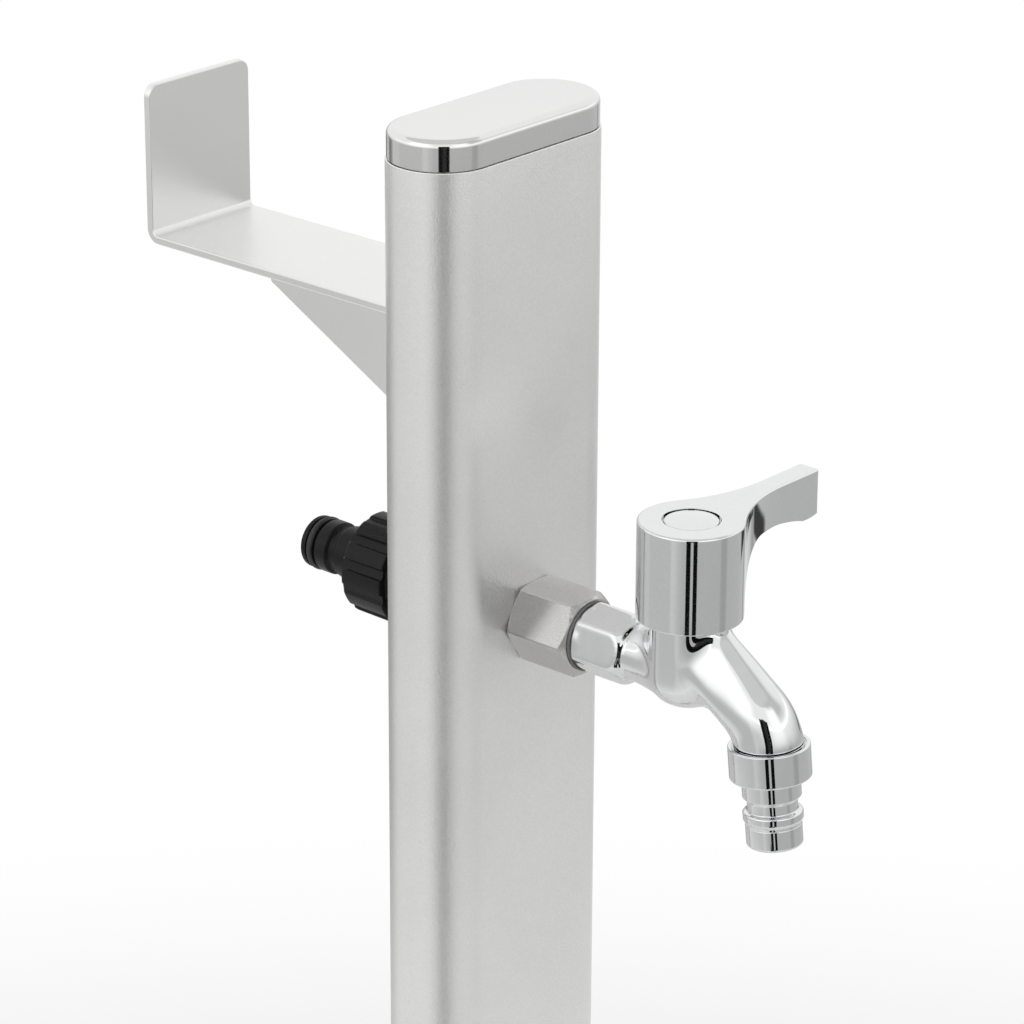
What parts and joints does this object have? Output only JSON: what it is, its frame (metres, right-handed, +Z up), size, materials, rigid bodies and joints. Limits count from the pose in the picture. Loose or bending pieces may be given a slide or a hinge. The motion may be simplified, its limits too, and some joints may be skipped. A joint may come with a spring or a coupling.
{
  "type": "garden standpipe",
  "caption": "Flat-oval metal garden standpipe with a quarter-turn lever tap, a push-fit hose outlet and inlet, a bent hose holder and a bolt-down foot plate.",
  "frame": {"origin": "centre of the column's footprint on the underside of the foot plate", "axes": "+Z up along the column, the tap points to -Y, the hose holder and the inlet to +Y, +X along the column's width and the lever as shown"},
  "size_m": [0.16, 0.2505, 0.9497],
  "materials": {
    "aluminium": "satin, bead-blasted and anodised",
    "cap": "polished edge, satin top",
    "steel": "brushed",
    "holder": "fine satin",
    "brass": "turned",
    "coupling": "brushed",
    "black_plastic": "moulded, low sheen",
    "rubber": "smooth",
    "chrome": "polished",
    "ceramic": "lapped ceramic",
    "lever_chrome": "satin"
  },
  "bodies": {
    "stand": {"column": "aluminium", "top_cap": "cap", "foot_plate": "steel", "foot_screws": "steel", "holder_plate": "holder", "gusset_left": "holder", "gusset_right": "holder", "holder_rivets": "holder", "through_pipe": "brass", "hex_coupling": "coupling", "rear_washer": "steel", "lock_nut": "brass", "inlet_adaptor": "black_plastic", "inlet_oring": "rubber", "inlet_seal": "rubber", "tail_washer": "rubber", "tap_body": "chrome", "seat_seal": "rubber", "fixed_disc": "ceramic", "valve_insert": "brass", "insert_seal": "rubber", "outlet_nozzle": "chrome", "outlet_washer": "rubber"},
    "handle": {"lever": "lever_chrome", "lever_screw": "steel", "index_cap": "lever_chrome", "spindle": "brass", "spindle_seal": "rubber", "spindle_clip": "steel", "moving_disc": "ceramic"}
  },
  "joints": [
    {"name": "lever_turn", "type": "hinge", "parent": "stand", "child": "handle", "pos_m": [0, -0.0784, 0.7905], "axis": [0, 0, 1], "range_deg": [-90, 0]}
  ]
}
